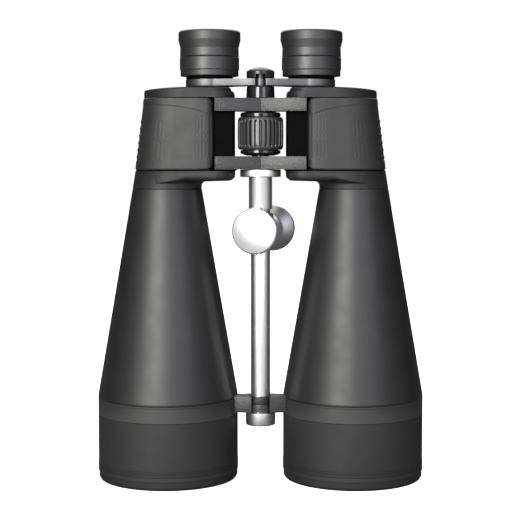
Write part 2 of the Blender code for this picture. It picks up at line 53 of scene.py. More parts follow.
ROUND = 128  # steps round a large turned piece
MIDDLE_ROUND = 96  # round an eyepiece or a piece of the centre
SMALL_ROUND = 72
ARC = 4  # fewest steps in a rounded corner
PLAN_ARC = 28  # steps in each corner of a plan that is lofted
GAP = 0.3  # between pieces that would touch
PAST = 5.0  # how far a cutter runs past a face


# ---------------------------------------------------------------- places, read from the frame


def corners(node):
    """A node's lowest and highest corner, in millimetres."""
    low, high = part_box(node)
    return Vector(low) / MM, Vector(high) / MM


def axis(node):
    """(x, y) of a round node's axis, in millimetres."""
    low, high = corners(node)
    return (low.x + high.x) / 2, (low.y + high.y) / 2


def span(node):
    """(lowest, highest) height of a node, in millimetres."""
    low, high = corners(node)
    return low.z, high.z


BARREL_X = axis("right_objective_hood")[0]
EYE_X, EYE_Y = axis("right_eyecup")
HINGE_Y = axis("brace_rod")[1]
HOOD_TOP = span("right_objective_hood")[1]
TUBE_TOP = span("right_objective_tube")[1]
ARMOUR_LOW, ARMOUR_TOP = span("right_grip_armour")
COVER_LOW = span("right_top_cover")[0]
TOP = span("right_eyecup")[1]
ADAPTER_Z = sum(span("lock_knob")) / 2
ADAPTER_YAW = math.radians(15)
INNER_X, HOUSING_FRONT = corners("right_prism_housing")[0].xy
OUTER_X, HOUSING_BACK = corners("right_prism_housing")[1].xy
HOUSING_TAPER = 6.4  # how far the outer side leans in from bottom to top
FRONT_ROUND = 29.0  # radius of the housing's outer front corner
BACK_ROUND = 22.0
STEP_X = 31.7  # where the housing's front steps back behind the arms
SET_BACK_Y = -19.9
NECK_R = 24.1  # the tube's top, and the round neck that meets it
PLATE_TOP = 216.2
HOUSING_TOP = 266.0


# ---------------------------------------------------------------- materials


class Paint:
    """A procedural material: a Principled shader whose colour, roughness and bump come from noise."""

    def __init__(self, name, colour, roughness, metallic=0.0):
        self.material = bpy.data.materials.new(name)
        self.material.use_nodes = True
        self.tree = self.material.node_tree
        self.shader = self.tree.nodes["Principled BSDF"]
        self.shader.inputs["Base Color"].default_value = (*colour, 1.0)
        self.shader.inputs["Roughness"].default_value = roughness
        self.shader.inputs["Metallic"].default_value = metallic
        self.colour = colour
        self.roughness = roughness
        self.place = self.tree.nodes.new("ShaderNodeTexCoord").outputs["Object"]
        self.height = None

    def noise(self, size_mm, stretch=(1, 1, 1), detail=4.0):
        """Noise whose features are about size_mm across, before the stretch."""
        mapping = self.tree.nodes.new("ShaderNodeMapping")
        mapping.inputs["Scale"].default_value = [each / (size_mm * MM) for each in stretch]
        self.tree.links.new(self.place, mapping.inputs["Vector"])
        texture = self.tree.nodes.new("ShaderNodeTexNoise")
        texture.inputs["Scale"].default_value = 1.0
        texture.inputs["Detail"].default_value = detail
        self.tree.links.new(mapping.outputs["Vector"], texture.inputs["Vector"])
        return texture.outputs["Fac"]

    def ranged(self, value, low, high, start=0.25, end=0.75):
        """The value's stretch from start to end, mapped to low to high."""
        node = self.tree.nodes.new("ShaderNodeMapRange")
        node.inputs["From Min"].default_value = start
        node.inputs["From Max"].default_value = end
        node.inputs["To Min"].default_value = low
        node.inputs["To Max"].default_value = high
        self.tree.links.new(value, node.inputs["Value"])
        return node.outputs["Result"]

    def vary_roughness(self, value, amount):
        spread = self.ranged(value, self.roughness - amount, self.roughness + amount)
        self.tree.links.new(spread, self.shader.inputs["Roughness"])

    def blend_colour(self, value, other, start=0.25, end=0.75):
        """Moves the colour towards another one where the value is high."""
        mix = self.tree.nodes.new("ShaderNodeMix")
        mix.data_type = "RGBA"
        source = self.shader.inputs["Base Color"]
        if source.is_linked:
            self.tree.links.new(source.links[0].from_socket, mix.inputs["A"])
        else:
            mix.inputs["A"].default_value = (*self.colour, 1.0)
        mix.inputs["B"].default_value = (*other, 1.0)
        self.tree.links.new(self.ranged(value, 0.0, 1.0, start, end), mix.inputs["Factor"])
        self.tree.links.new(mix.outputs["Result"], source)

    def bump(self, value, depth_mm):
        node = self.tree.nodes.new("ShaderNodeBump")
        node.inputs["Distance"].default_value = depth_mm * MM
        node.inputs["Strength"].default_value = 1.0
        self.tree.links.new(value, node.inputs["Height"])
        if self.height is not None:
            self.tree.links.new(self.height, node.inputs["Normal"])
        self.height = node.outputs["Normal"]
        self.tree.links.new(self.height, self.shader.inputs["Normal"])

    def edges(self):
        """High on convex edges, which wear and catch dust."""
        return self.tree.nodes.new("ShaderNodeNewGeometry").outputs["Pointiness"]


def moulded(name, colour, light, roughness, grain_mm, grain_depth, shine=0.5):
    """Painted or moulded black: fine grain, slow changes of gloss and colour, and paler worn edges."""
    made = Paint(name, colour, roughness)
    made.shader.inputs["Specular IOR Level"].default_value = shine
    made.vary_roughness(made.noise(14, detail=5.0), 0.045)
    made.blend_colour(made.noise(30, detail=3.0), light)
    made.blend_colour(made.edges(), [min(1.0, 2.2 * each) for each in light], 0.53, 0.60)
    made.bump(made.noise(grain_mm, detail=3.0), grain_depth)
    made.bump(made.noise(9, detail=2.0), 0.015)
    return made.material


def turned_metal(name, colour, roughness, ring_mm, grain=0.0):
    """Turned metal: fine lathe rings round the axis, and slow changes of colour and gloss.

    grain, if given, is how far the rings stretch a highlight.
    """
    made = Paint(name, colour, roughness, 1.0)
    rings = (0.02, 0.02, 1.0)
    made.vary_roughness(made.noise(12, (0.3, 0.3, 1.0), 3.0), roughness * 0.08)
    made.blend_colour(made.noise(ring_mm * 4, rings, 2.0), [0.95 * each for each in colour])
    made.blend_colour(made.noise(18, (1, 1, 0.4), 4.0), [0.90 * each for each in colour])
    if grain > 0:
        round_axis = made.tree.nodes.new("ShaderNodeTangent")
        round_axis.direction_type = "RADIAL"
        round_axis.axis = "Z"
        made.shader.inputs["Anisotropic"].default_value = grain
        made.tree.links.new(round_axis.outputs["Tangent"], made.shader.inputs["Tangent"])
    return made.material


def coated_glass(name, colour, tint):
    """Coated optical glass: clear, with a coloured film on its face."""
    made = Paint(name, colour, 0.02)
    made.shader.inputs["Transmission Weight"].default_value = 0.75
    made.shader.inputs["IOR"].default_value = 1.52
    made.shader.inputs["Coat Weight"].default_value = 0.6
    made.shader.inputs["Coat Roughness"].default_value = 0.02
    facing = made.tree.nodes.new("ShaderNodeLayerWeight")
    facing.inputs["Blend"].default_value = 0.35
    made.blend_colour(facing.outputs["Facing"], tint, 0.1, 0.9)
    made.blend_colour(made.noise(20, detail=2.0), [0.9 * each for each in tint], 0.5, 0.9)
    return made.material


def make_materials():
    """Each material by its short name. A black has its colour, a paler one for worn places, and its grain."""
    blacks = {
        "paint": ("satin_black_paint", (0.0034, 0.0034, 0.0036), (0.0050, 0.0050, 0.0052), 0.50, 0.25, 0.010),
        "band": (
            "semi_matt_black_paint", (0.0065, 0.0065, 0.0068), (0.0095, 0.0095, 0.0095), 0.62, 0.25, 0.012,
        ),
        # shell: darker than the other blacks, with almost no shine. It is painted shade for the recess behind
        # the arms and for the eyepiece tube under the cup.
        "shell": (
            "shade_darkened_black_paint", (0.0007, 0.0007, 0.0008), (0.0014, 0.0014, 0.0014), 0.70, 0.30, 0.012,
            0.03,
        ),
        "cover": (
            "cover_black_paint", (0.0022, 0.0022, 0.0024), (0.0034, 0.0034, 0.0036), 0.60, 0.25, 0.010, 0.40,
        ),
        "armour": ("grained_rubber", (0.0062, 0.0062, 0.0062), (0.0075, 0.0075, 0.0075), 0.59, 0.35, 0.030),
        "hood": ("hood_rubber", (0.0047, 0.0047, 0.0050), (0.008, 0.008, 0.008), 0.72, 0.30, 0.022, 0.42),
        "soft": ("eyecup_rubber", (0.006, 0.006, 0.0062), (0.009, 0.009, 0.009), 0.48, 0.28, 0.020, 0.62),
        "grip": ("wheel_rubber", (0.012, 0.012, 0.0124), (0.022, 0.022, 0.0226), 0.40, 0.22, 0.012, 0.75),
        "sand": (
            "sand_textured_paint", (0.005, 0.005, 0.005), (0.009, 0.009, 0.009), 0.38, 1.05, 0.320, 0.42,
        ),
        "baffle": ("anti_reflection_black", (0.005, 0.005, 0.005), (0.008, 0.008, 0.008), 0.85, 0.30, 0.020),
        "gloss": ("gloss_black_lacquer", (0.005, 0.005, 0.0055), (0.007, 0.007, 0.007), 0.13, 0.80, 0.002),
        "cap": ("cap_black_lacquer", (0.005, 0.005, 0.0055), (0.007, 0.007, 0.007), 0.26, 0.80, 0.002, 0.40),
    }
    made = {key: moulded(*settings) for key, settings in blacks.items()}
    steel = (0.93, 0.93, 0.94)
    made["chrome"] = turned_metal("bright_turned_metal", steel, 0.25, 0.22, 0.6)
    made["coned"] = turned_metal("frosted_turned_metal", steel, 0.44, 0.30)
    made["brushed"] = turned_metal("satin_turned_metal", (0.115, 0.114, 0.119), 0.50, 0.16)
    made["brass"] = turned_metal("turned_brass", (0.66, 0.50, 0.24), 0.30, 0.20)
    made["lens"] = coated_glass("purple_coated_lens", (0.10, 0.05, 0.16), (0.16, 0.34, 0.24))
    made["prism"] = coated_glass("prism_glass", (0.70, 0.78, 0.76), (0.80, 0.86, 0.84))
    return made


# ---------------------------------------------------------------- outlines and profiles


def rounded(points, closed=True, arc=0):
    """The points (x, y) or (x, y, radius) with an arc in each corner that has a radius."""
    path = []
    count = len(points)
    for index, point in enumerate(points):
        corner = Vector(point[:2])
        radius = point[2] if len(point) > 2 else 0.0
        if radius <= 0 or (not closed and index in (0, count - 1)):
            path.append((corner.x, corner.y))
            continue
        before = Vector(points[index - 1][:2]) - corner
        after = Vector(points[(index + 1) % count][:2]) - corner
        half = max(before.angle(after) / 2, 0.01)
        reach = min(radius / math.tan(half), 0.49 * before.length, 0.49 * after.length)
        radius = reach * math.tan(half)
        centre = corner + (before.normalized() + after.normalized()).normalized() * radius / math.sin(half)
        start = corner + before.normalized() * reach - centre
        end = corner + after.normalized() * reach - centre
        first = math.atan2(start.y, start.x)
        sweep = (math.atan2(end.y, end.x) - first + math.pi) % math.tau - math.pi
        steps = arc or max(ARC, int(abs(sweep) * radius / 0.9))
        for step in range(steps + 1):
            angle = first + sweep * step / steps
            path.append((centre.x + radius * math.cos(angle), centre.y + radius * math.sin(angle)))
    return path


def grooved(radius, top, bottom, grooves, depth=0.35, width=0.5):
    """Profile points down a wall of one radius, with grooves cut at the heights given, highest first."""
    path = [(radius, top)]
    for height in grooves:
        path += [
            (radius, height + width / 2, 0.08), (radius - depth, height + width / 4),
            (radius - depth, height - width / 4), (radius, height - width / 2, 0.08),
        ]
    return path + [(radius, bottom)]


def even(path, most):
    """A closed path with points added so that none are further apart than most."""
    filled = []
    for index, point in enumerate(path):
        after = path[(index + 1) % len(path)]
        across, up = after[0] - point[0], after[1] - point[1]
        steps = max(1, math.ceil(math.hypot(across, up) / most))
        for step in range(steps):
            share = step / steps
            filled.append((point[0] + across * share, point[1] + up * share))
    return filled


# ---------------------------------------------------------------- pieces


def piece(name, built, material, body, nodes, at=(0.0, 0.0, 0.0), sharp=32, turn=None):
    """Finishes a mesh as a piece of the object: material, shading, body, and the CAD nodes it stands for."""
    mesh = bpy.data.meshes.new(name)
    bmesh.ops.recalc_face_normals(built, faces=built.faces)
    bmesh.ops.scale(built, vec=(MM, MM, MM), verts=built.verts)
    built.to_mesh(mesh)
    built.free()
    mesh.materials.append(material)
    mesh.shade_smooth()
    mesh.set_sharp_from_angle(angle=math.radians(sharp))
    made = bpy.data.objects.new(name, mesh)
    bpy.context.scene.collection.objects.link(made)
    made.matrix_world = Matrix.Translation(Vector(at) * MM) @ (turn or Matrix.Identity(4))
    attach(made, body)
    if nodes:
        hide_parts(*nodes)
    return made


def spun(profile, steps=ROUND, shift=None):
    """A bmesh of a profile (radius, height, corner radius) turned about Z.

    A profile that starts and ends on the axis is left open there, and any other is closed on itself.
    shift, if given, moves a point by (angle, radius, height) -> new radius.
    """
    closed = profile[0][0] > 0
    path = rounded(profile, closed)
    built = bmesh.new()
    rings = []
    for radius, height in path:
        if radius < 1e-6:
            rings.append([built.verts.new((0, 0, height))])
            continue
        ring = []
        for step in range(steps):
            angle = math.tau * step / steps
            reach = shift(angle, radius, height) if shift else radius
            ring.append(built.verts.new((reach * math.cos(angle), reach * math.sin(angle), height)))
        rings.append(ring)
    pairs = list(zip(rings, rings[1:]))
    if closed:
        pairs.append((rings[-1], rings[0]))
    for upper, lower in pairs:
        for step in range(steps):
            after = (step + 1) % steps
            if len(upper) == 1:
                built.faces.new((upper[0], lower[step], lower[after]))
            elif len(lower) == 1:
                built.faces.new((upper[step], lower[0], upper[after]))
            else:
                built.faces.new((upper[step], lower[step], lower[after], upper[after]))
    return built


def lofted(sections):
    """A closed bmesh through outlines of equal length, each (outline, height) or (outline, heights)."""
    built = bmesh.new()
    rows = []
    for outline, height in sections:
        heights = height if isinstance(height, list) else [height] * len(outline)
        rows.append([built.verts.new((x, y, z)) for (x, y), z in zip(outline, heights)])
    for low, high in zip(rows, rows[1:]):
        for index in range(len(low)):
            after = (index + 1) % len(low)
            built.faces.new((low[index], low[after], high[after], high[index]))
    built.faces.new(rows[0])
    built.faces.new(rows[-1])
    return built


def slab(outline, low, high):
    """An upright prism between two heights."""
    return lofted([(outline, low), (outline, high)])


def disc(x, y, radius, low, high, steps=64):
    """An upright drum."""
    outline = [
        (x + radius * math.cos(math.tau * k / steps), y + radius * math.sin(math.tau * k / steps))
        for k in range(steps)
    ]
    return slab(outline, low, high)


def carved(base, steps):
    """A bmesh after a list of Booleans, each (operation, other bmesh), and a small bevel on its edges."""

    def as_object(built, label):
        bmesh.ops.recalc_face_normals(built, faces=built.faces)
        mesh = bpy.data.meshes.new(label)
        built.to_mesh(mesh)
        built.free()
        made = bpy.data.objects.new(label, mesh)
        bpy.context.scene.collection.objects.link(made)
        return made

    worked = as_object(base, "worked")
    tools = []
    for index, (operation, other) in enumerate(steps):
        tool = as_object(other, f"tool_{index}")
        tools.append(tool)
        modifier = worked.modifiers.new(f"step_{index}", "BOOLEAN")
        modifier.operation = operation
        modifier.solver = "EXACT"
        modifier.object = tool
    bevel = worked.modifiers.new("edges", "BEVEL")
    bevel.width = 0.35
    bevel.segments = 3
    bevel.limit_method = "ANGLE"
    bevel.angle_limit = math.radians(38)
    graph = bpy.context.evaluated_depsgraph_get()
    mesh = bpy.data.meshes.new_from_object(worked.evaluated_get(graph))
    for made in (worked, *tools):
        bpy.data.objects.remove(made, do_unlink=True)
    built = bmesh.new()
    built.from_mesh(mesh)
    bpy.data.meshes.remove(mesh)
    return built


# ---------------------------------------------------------------- the objective end


def make_barrel(name, side, look):
    """Hood, cone, band, cell and front lens, which share the barrel's axis."""
    body = f"{name}_half"
    at = (side * BARREL_X, 0, 0)
    low, high = corners(f"{name}_objective_hood")
    rib_r = (high.x - low.x) / 2
    wall_r = rib_r - 0.15
    bore_r, spigot_r = 44.6, 46.75
    baffle_pitch, baffle_r = 2.4, bore_r - 0.55
    baffles = []
    for k in range(9):
        z = 3.0 + baffle_pitch * k
        baffles += [(bore_r, z), (baffle_r, z + 0.6), (baffle_r, z + 1.4), (bore_r, z + 2.0)]
    hood = [
        (wall_r, HOOD_TOP, 0.25), (wall_r, 13.55, 0.1),
        *grooved(rib_r, 13.4, 6.4, (12.9, 11.4, 9.3), 0.3, 0.45),
        (wall_r - 0.25, 6.15, 0.2), (wall_r - 0.35, 1.9, 2.2), (47.6, 0.0, 0.9), (45.3, 0.0, 0.5),
        (bore_r, 1.4, 0.5), *baffles, (bore_r, 25.7), (spigot_r, 25.7), (spigot_r, HOOD_TOP),
    ]
    piece(f"{name}_hood", spun(hood), look["hood"], body, [f"{name}_objective_hood"], at)

    band_low, band_top = HOOD_TOP + GAP, 57.5
    tube_low = band_top + 0.25
    slope = (wall_r - NECK_R) / (TUBE_TOP - tube_low)
    tube = [
        (NECK_R, TUBE_TOP, 0.3), (NECK_R + 1.6 * slope, TUBE_TOP - 1.6),
        (wall_r - 0.05, tube_low + 1.4, 1.0), (wall_r - 0.08, tube_low, 0.2), (46.4, tube_low), (46.4, 26.2),
        (42.8, 26.2), (42.8, 57.0), (21.9, TUBE_TOP),
    ]
    piece(f"{name}_cone", spun(tube), look["paint"], body, [f"{name}_objective_tube"], at)

    band = [
        *grooved(wall_r, band_top, band_low, (56.3,), 0.18, 0.35), (spigot_r, band_low), (spigot_r, band_top),
    ]
    piece(f"{name}_band", spun(band), look["band"], body, [f"{name}_bridge_band"], at)

    cell = [
        (42.3, 50.0), (42.3, 28.6, 0.3), (40.9, 28.6, 0.3), (40.0, 29.4, 0.2), (40.0, 31.2), (41.45, 31.2),
        (41.45, 50.0),
    ]
    piece(f"{name}_cell", spun(cell), look["baffle"], body, [f"{name}_objective_cell"], at)

    lens_r, rise, steps = 41.1, 3.4, 12
    shares = [k / steps for k in range(steps + 1)]
    front = [(lens_r * share, 28.1 + rise * share ** 2) for share in shares]
    rear = [(lens_r * share, 39.0 - rise * share ** 2) for share in shares]
    piece(
        f"{name}_front_lens", spun(rear + front[::-1], MIDDLE_ROUND), look["lens"], body,
        [f"{name}_objective_crown_lens"], at,
    )


def make_lug(name, side, look):
    """The bracket from the band to the brace rod: a flat textured plate in front and a round knuckle."""
    body = f"{name}_half"
    low, high, split = 48.0, 59.3, 53.4
    own = (split, high) if side > 0 else (low, split - GAP)
    other = (low - PAST, split) if side > 0 else (split - GAP, high + PAST)
    plan = [(6.4, -16.9), (18.1, -14.9), (18.1, -4.0), (6.4, -1.3)]
    outline = [(side * x, y) for x, y in plan]
    clear_of_tube = disc(side * BARREL_X, 0, 49.35, 57.7, 70, 160)
    built = carved(
        slab(outline, low, high),
        [
            ("DIFFERENCE", disc(0, HINGE_Y, 8.6, *other)),
            ("UNION", disc(0, HINGE_Y, 8.1, *own)),
            ("DIFFERENCE", disc(0, HINGE_Y, 7.05, low - PAST, high + PAST)),
            ("DIFFERENCE", clear_of_tube),
        ],
    )
    piece(f"{name}_lug", built, look["sand"], body, [])


# ---------------------------------------------------------------- the prism housing


def lid_outline(side, inner, inset, outer):
    """Plan of the cover and the base plate, which stand out past the housing."""
    overhang = 1.8
    front, back = HOUSING_FRONT - overhang + inset, HOUSING_BACK + overhang - inset
    plan = [
        (inner, front, max(13.0 - inset, 0.6)), (outer - inset, front, max(FRONT_ROUND + 1.0 - inset, 1.0)),
        (outer - inset, back, max(BACK_ROUND + 1.0 - inset, 1.0)), (inner, back, max(9.0 - inset, 0.6)),
    ]
    return [(side * x, y) for x, y in rounded(plan, arc=PLAN_ARC)]


def housing_outline(side, outer):
    step = STEP_X + 1.6
    plan = [
        (INNER_X, SET_BACK_Y, 2.0), (step, SET_BACK_Y), (step, HOUSING_FRONT, 2.5),
        (outer, HOUSING_FRONT, FRONT_ROUND), (outer, HOUSING_BACK, BACK_ROUND), (INNER_X, HOUSING_BACK, 9.0),
    ]
    return [(side * x, y) for x, y in rounded(plan, arc=PLAN_ARC)]


def make_housing(name, side, look):
    """The shell, with a low flange at its foot that fills the seam with the base plate."""
    low = PLATE_TOP + 0.1
    centre = Vector((side * 52.0, 5.0))
    flange, chamfer = 1.04, 0.99  # a section's size against the shell's own
    sections = []
    for height, size in (
        (low, flange), (low + 0.6, flange), (low + 0.7, 1.0), (HOUSING_TOP - 0.7, 1.0),
        (HOUSING_TOP, chamfer),
    ):
        share = (height - low) / (HOUSING_TOP - low)
        outline = housing_outline(side, OUTER_X - HOUSING_TAPER * share)
        sections.append(([tuple(centre + (Vector(p) - centre) * size) for p in outline], height))
    # The shell takes the near-black paint, which is painted shade for the set-back recess behind the arms.
    piece(
        f"{name}_housing", lofted(sections), look["shell"], f"{name}_half", [f"{name}_prism_housing"],
    )


def make_cover(name, side, look):
    """The lid: a wall that steps back on its inner side, and a top that falls away outwards."""
    outer = OUTER_X - HOUSING_TAPER + 2.0
    edge = COVER_LOW + 6.3
    # How far in from the housing's inner side, how far in elsewhere, and the height.
    rings = [
        (0.4, 0.3, COVER_LOW - 0.2), (0.3, 0.05, COVER_LOW), (0.3, 0.0, 269.9), (0.5, 0.05, 270.4),
        (2.4, 0.1, 270.6), (2.5, 0.15, 271.6), (2.5, 0.3, edge), (2.8, 0.7, edge + 0.35),
        (3.4, 1.4, edge + 0.55), (5.0, 3.2, edge + 0.75), (8.0, 7.0, edge + 1.05),
        (12.0, 12.0, edge + 1.3), (18.0, 18.0, edge + 1.4),
    ]
    greatest_fall, fall_from, fall_full = 1.4, 268.0, 272.0
    sections = []
    for inner, inset, height in rings:
        outline = lid_outline(side, INNER_X + inner, inset, outer)
        share = min(max((height - fall_from) / (fall_full - fall_from), 0.0), 1.0)
        heights = []
        for x, _ in outline:
            outwards = max((abs(x) - EYE_X) / (outer - EYE_X), 0.0)
            heights.append(height - greatest_fall * share * outwards ** 2)
        sections.append((outline, heights))
    piece(
        f"{name}_cover", lofted(sections), look["cover"], f"{name}_half", [f"{name}_top_cover"],
        sharp=40,
    )


def skirt_path(reach, plate_low, neck_z):
    """The base plate's wall from its rim down to the neck, as (distance from the tube's axis, height)."""
    rim, straight_steps, round_steps = 0.3, 20, 8
    extra = max(reach - NECK_R, 0.0)
    wall_top = PLATE_TOP - rim
    path = [(reach - rim, PLATE_TOP), (reach, wall_top)]
    if extra <= 0.01:
        for k in range(1, straight_steps + 1):
            share = k / straight_steps
            path.append((reach + (NECK_R - reach) * share, wall_top - (wall_top - neck_z) * share))
        return path
    corner = min(3.5, 0.55 * extra)
    fillet = min(3.2, 0.45 * extra)
    floor = plate_low - 1.8 * (1.0 - min(1.0, extra / 6.0))
    inner_floor = floor - 0.7 * min(extra / 22.0, 1.0)
    turns = [math.pi / 2 * k / round_steps for k in range(round_steps + 1)]
    for turn in turns:
        path.append((reach - corner * (1 - math.cos(turn)), floor + corner * (1 - math.sin(turn))))
    for turn in turns:
        path.append((NECK_R + fillet * (1 - math.sin(turn)), inner_floor - fillet * (1 - math.cos(turn))))
    path.append((NECK_R, (inner_floor - fillet + neck_z) / 2))
    path.append((NECK_R, neck_z))
    return path


def make_skirt(name, side, look):
    """The base plate: a plate over the whole housing that flows down into the round neck of the tube."""
    neck_z = TUBE_TOP + GAP
    plate_low = span(f"{name}_base_plate")[0] + 5.4
    built = bmesh.new()
    columns = []
    for x, y in even(lid_outline(1, INNER_X, 0.0, OUTER_X + 2.0), 1.2):
        away = Vector((x - BARREL_X, y))
        path = skirt_path(away.length, plate_low, neck_z)
        away.normalize()
        columns.append([built.verts.new((side * (BARREL_X + away.x * r), away.y * r, z)) for r, z in path])
    for first, second in zip(columns, columns[1:] + columns[:1]):
        for k in range(len(first) - 1):
            built.faces.new((first[k], second[k], second[k + 1], first[k + 1]))
    built.faces.new([column[0] for column in columns])
    built.faces.new([column[-1] for column in columns])
    piece(
        f"{name}_skirt", built, look["cover"], f"{name}_half", [f"{name}_base_plate"], sharp=50
    )


def smooth_step(value, low, high):
    """0 below low, 1 above high, and an S between them."""
    share = min(max((value - low) / (high - low), 0.0), 1.0)
    return share * share * (3 - 2 * share)


def box_distance(s, z, s0, s1, z0, z1, radius):
    """Signed distance to a rounded rectangle, negative inside."""
    dx = abs(s - (s0 + s1) / 2) - (s1 - s0) / 2 + radius
    dz = abs(z - (z0 + z1) / 2) - (z1 - z0) / 2 + radius
    outside = math.hypot(max(dx, 0.0), max(dz, 0.0))
    return outside + min(max(dx, dz), 0.0) - radius


def armour_height(s, z, length):
    """How far the rubber skin stands off the housing, at a distance s along it and a height z."""
    thick, roll, bare = 1.9, 1.0, 0.02
    inside = -box_distance(s, z, 0.0, length, ARMOUR_LOW, ARMOUR_TOP, 6.5)
    near = min(s, length - s)
    if inside < -0.01 or near <= 0:
        return bare

    height = thick
    edge = 1.3 * smooth_step(near, 7.0, 13.0)
    if inside < roll:
        height -= (0.95 * thick - edge) * (1 - math.sqrt(max(1 - ((roll - inside) / roll) ** 2, 0.0)))
    height -= 0.7 * max(1 - near / 14.0, 0.0) ** 2

    # A shallow hollow for the fingers, in the middle of the front and of the back.
    hollow_start, hollow_end = 12.0, 52.0
    if hollow_start < near < hollow_end:
        height -= 0.9 * math.sin(math.pi * (near - hollow_start) / (hollow_end - hollow_start)) ** 2

    # A sunk panel below a crease that rises away from the hinge, with a fine line round it.
    crease = 252.6 + 9.4 * (1 - math.exp(-near / 19.0))
    panel = min(-box_distance(near, z, 3.5, 200.0, 223.4, 400.0, 3.2), crease - z)
    line_width = 0.28
    height -= 0.22 * smooth_step(panel, -0.3, 0.3) * smooth_step(inside, 0.6, 1.8)
    height -= 0.14 * math.exp(-((panel / line_width) ** 2)) * smooth_step(inside, 0.8, 2.0)

    # Four columns of long loops drawn in fine lines.
    inner_rows = ((225.7, 236.1), (238.4, 242.1), (243.6, min(crease - 1.4, 253.4)))
    outer_rows = ((223.9, 235.7), (239.1, 250.3))
    for start, end, rows in (
        (5.8, 8.2, inner_rows), (10.7, 13.1, inner_rows), (33.2, 36.0, outer_rows), (38.9, 42.2, outer_rows),
    ):
        for low, high in rows:
            loop = box_distance(near, z, start, end, low, high, 1.0)
            height -= 0.16 * math.exp(-((loop / line_width) ** 2))

    # Ribs across the outer side.
    for rib in range(6):
        low = 225.0 + 4.9 * rib
        bar = box_distance(s, z, 56.0, length - 56.0, low, low + 1.7, 0.8)
        height += 0.42 * (1 - smooth_step(bar, -0.7, 0.5))
    return max(height, 0.05)


def armour_plan(outer):
    """The skin's path round the front, the outer side and the back, from its inner front edge."""
    start = STEP_X - GAP
    edge = start + 1.9
    path = rounded(
        [
            (edge, HOUSING_FRONT + 8.2), (edge, HOUSING_FRONT, 4.0), (outer, HOUSING_FRONT, FRONT_ROUND),
            (outer, HOUSING_BACK, BACK_ROUND), (start, HOUSING_BACK),
        ],
        closed=False, arc=40,
    )
    return path[1:]


def armour_base(step):
    """Points along the skin's path, no further apart than about step: (x, y) at its foot and at its top."""
    foot, top = armour_plan(OUTER_X), armour_plan(OUTER_X - HOUSING_TAPER)
    base = []
    for foot_start, foot_end, top_start, top_end in zip(foot, foot[1:], top, top[1:]):
        count = max(1, round(math.dist(foot_start, foot_end) / step))
        for k in range(count):
            share = k / count
            foot_point = Vector(foot_start).lerp(Vector(foot_end), share)
            base.append((foot_point, Vector(top_start).lerp(Vector(top_end), share)))
    base.append((Vector(foot[-1]), Vector(top[-1])))
    return base


def make_armour(name, side, look):
    """The rubber skin as one thick sheet wrapped round the front, the outer side and the back."""
    base = armour_base(0.5)
    along = [0.0]
    for (first, _), (second, _) in zip(base, base[1:]):
        along.append(along[-1] + math.dist(first, second))
    tall = ARMOUR_TOP - ARMOUR_LOW
    rows = round(tall / 0.45)
    heights = [ARMOUR_LOW + tall * row / rows for row in range(rows + 1)]
    built = bmesh.new()
    columns = []
    for index, (foot, top) in enumerate(base):
        before, after = base[max(index - 1, 0)][0], base[min(index + 1, len(base) - 1)][0]
        tangent = (after - before).normalized()
        normal = Vector((tangent.y, -tangent.x))
        face = [(z, armour_height(along[index], z, along[-1])) for z in heights]
        column = []
        for z, out in [(ARMOUR_LOW, 0.02), *face, (ARMOUR_TOP, 0.02)]:
            at = foot.lerp(top, (z - ARMOUR_LOW) / tall) + normal * out
            column.append(built.verts.new((side * at.x, at.y, z)))
        columns.append(column)
    for first, second in zip(columns, columns[1:]):
        for row in range(len(first) - 1):
            built.faces.new((first[row], second[row], second[row + 1], first[row + 1]))
    # The back of the sheet: one face for each column, and the two ends' long edges go into the outer ones.
    last = len(columns) - 2
    for index, (first, second) in enumerate(zip(columns, columns[1:])):
        left = list(first) if index == 0 else [first[0], first[-1]]
        right = list(second) if index == last else [second[0], second[-1]]
        built.faces.new(left + right[::-1])
    piece(
        f"{name}_armour", built, look["armour"], f"{name}_half", [f"{name}_grip_armour"],
        sharp=60,
    )


# ---------------------------------------------------------------- the hinge


def make_hinge_arms(name, side, look):
    for level in ("upper", "lower"):
        node = f"{name}_hinge_arm_{level}"
        low, high = span(node)
        split = low + 4.3
        own = (low, split) if side > 0 else (split + GAP, high)
        other = (split, high + PAST) if side > 0 else (low - PAST, split + GAP)
        middle, inner, outer, back = GAP / 2, INNER_X - GAP, STEP_X - 0.6, SET_BACK_Y - GAP
        plan = [
            (middle, -21.0), (outer, HOUSING_FRONT - 2.2), (outer, back), (inner, back), (inner, 0.3),
            (middle, 0.3),
        ]
        outline = [(side * x, y) for x, y in plan]
        built = carved(
            slab(outline, low, high),
            [
                ("DIFFERENCE", disc(0, HINGE_Y, 10.5, *other)),
                ("UNION", disc(0, HINGE_Y, 10.2, *own)),
                ("DIFFERENCE", disc(0, HINGE_Y, 6.35, low - PAST, high + PAST)),
            ],
        )
        piece(f"{name}_arm_{level}", built, look["sand"], f"{name}_half", [node])


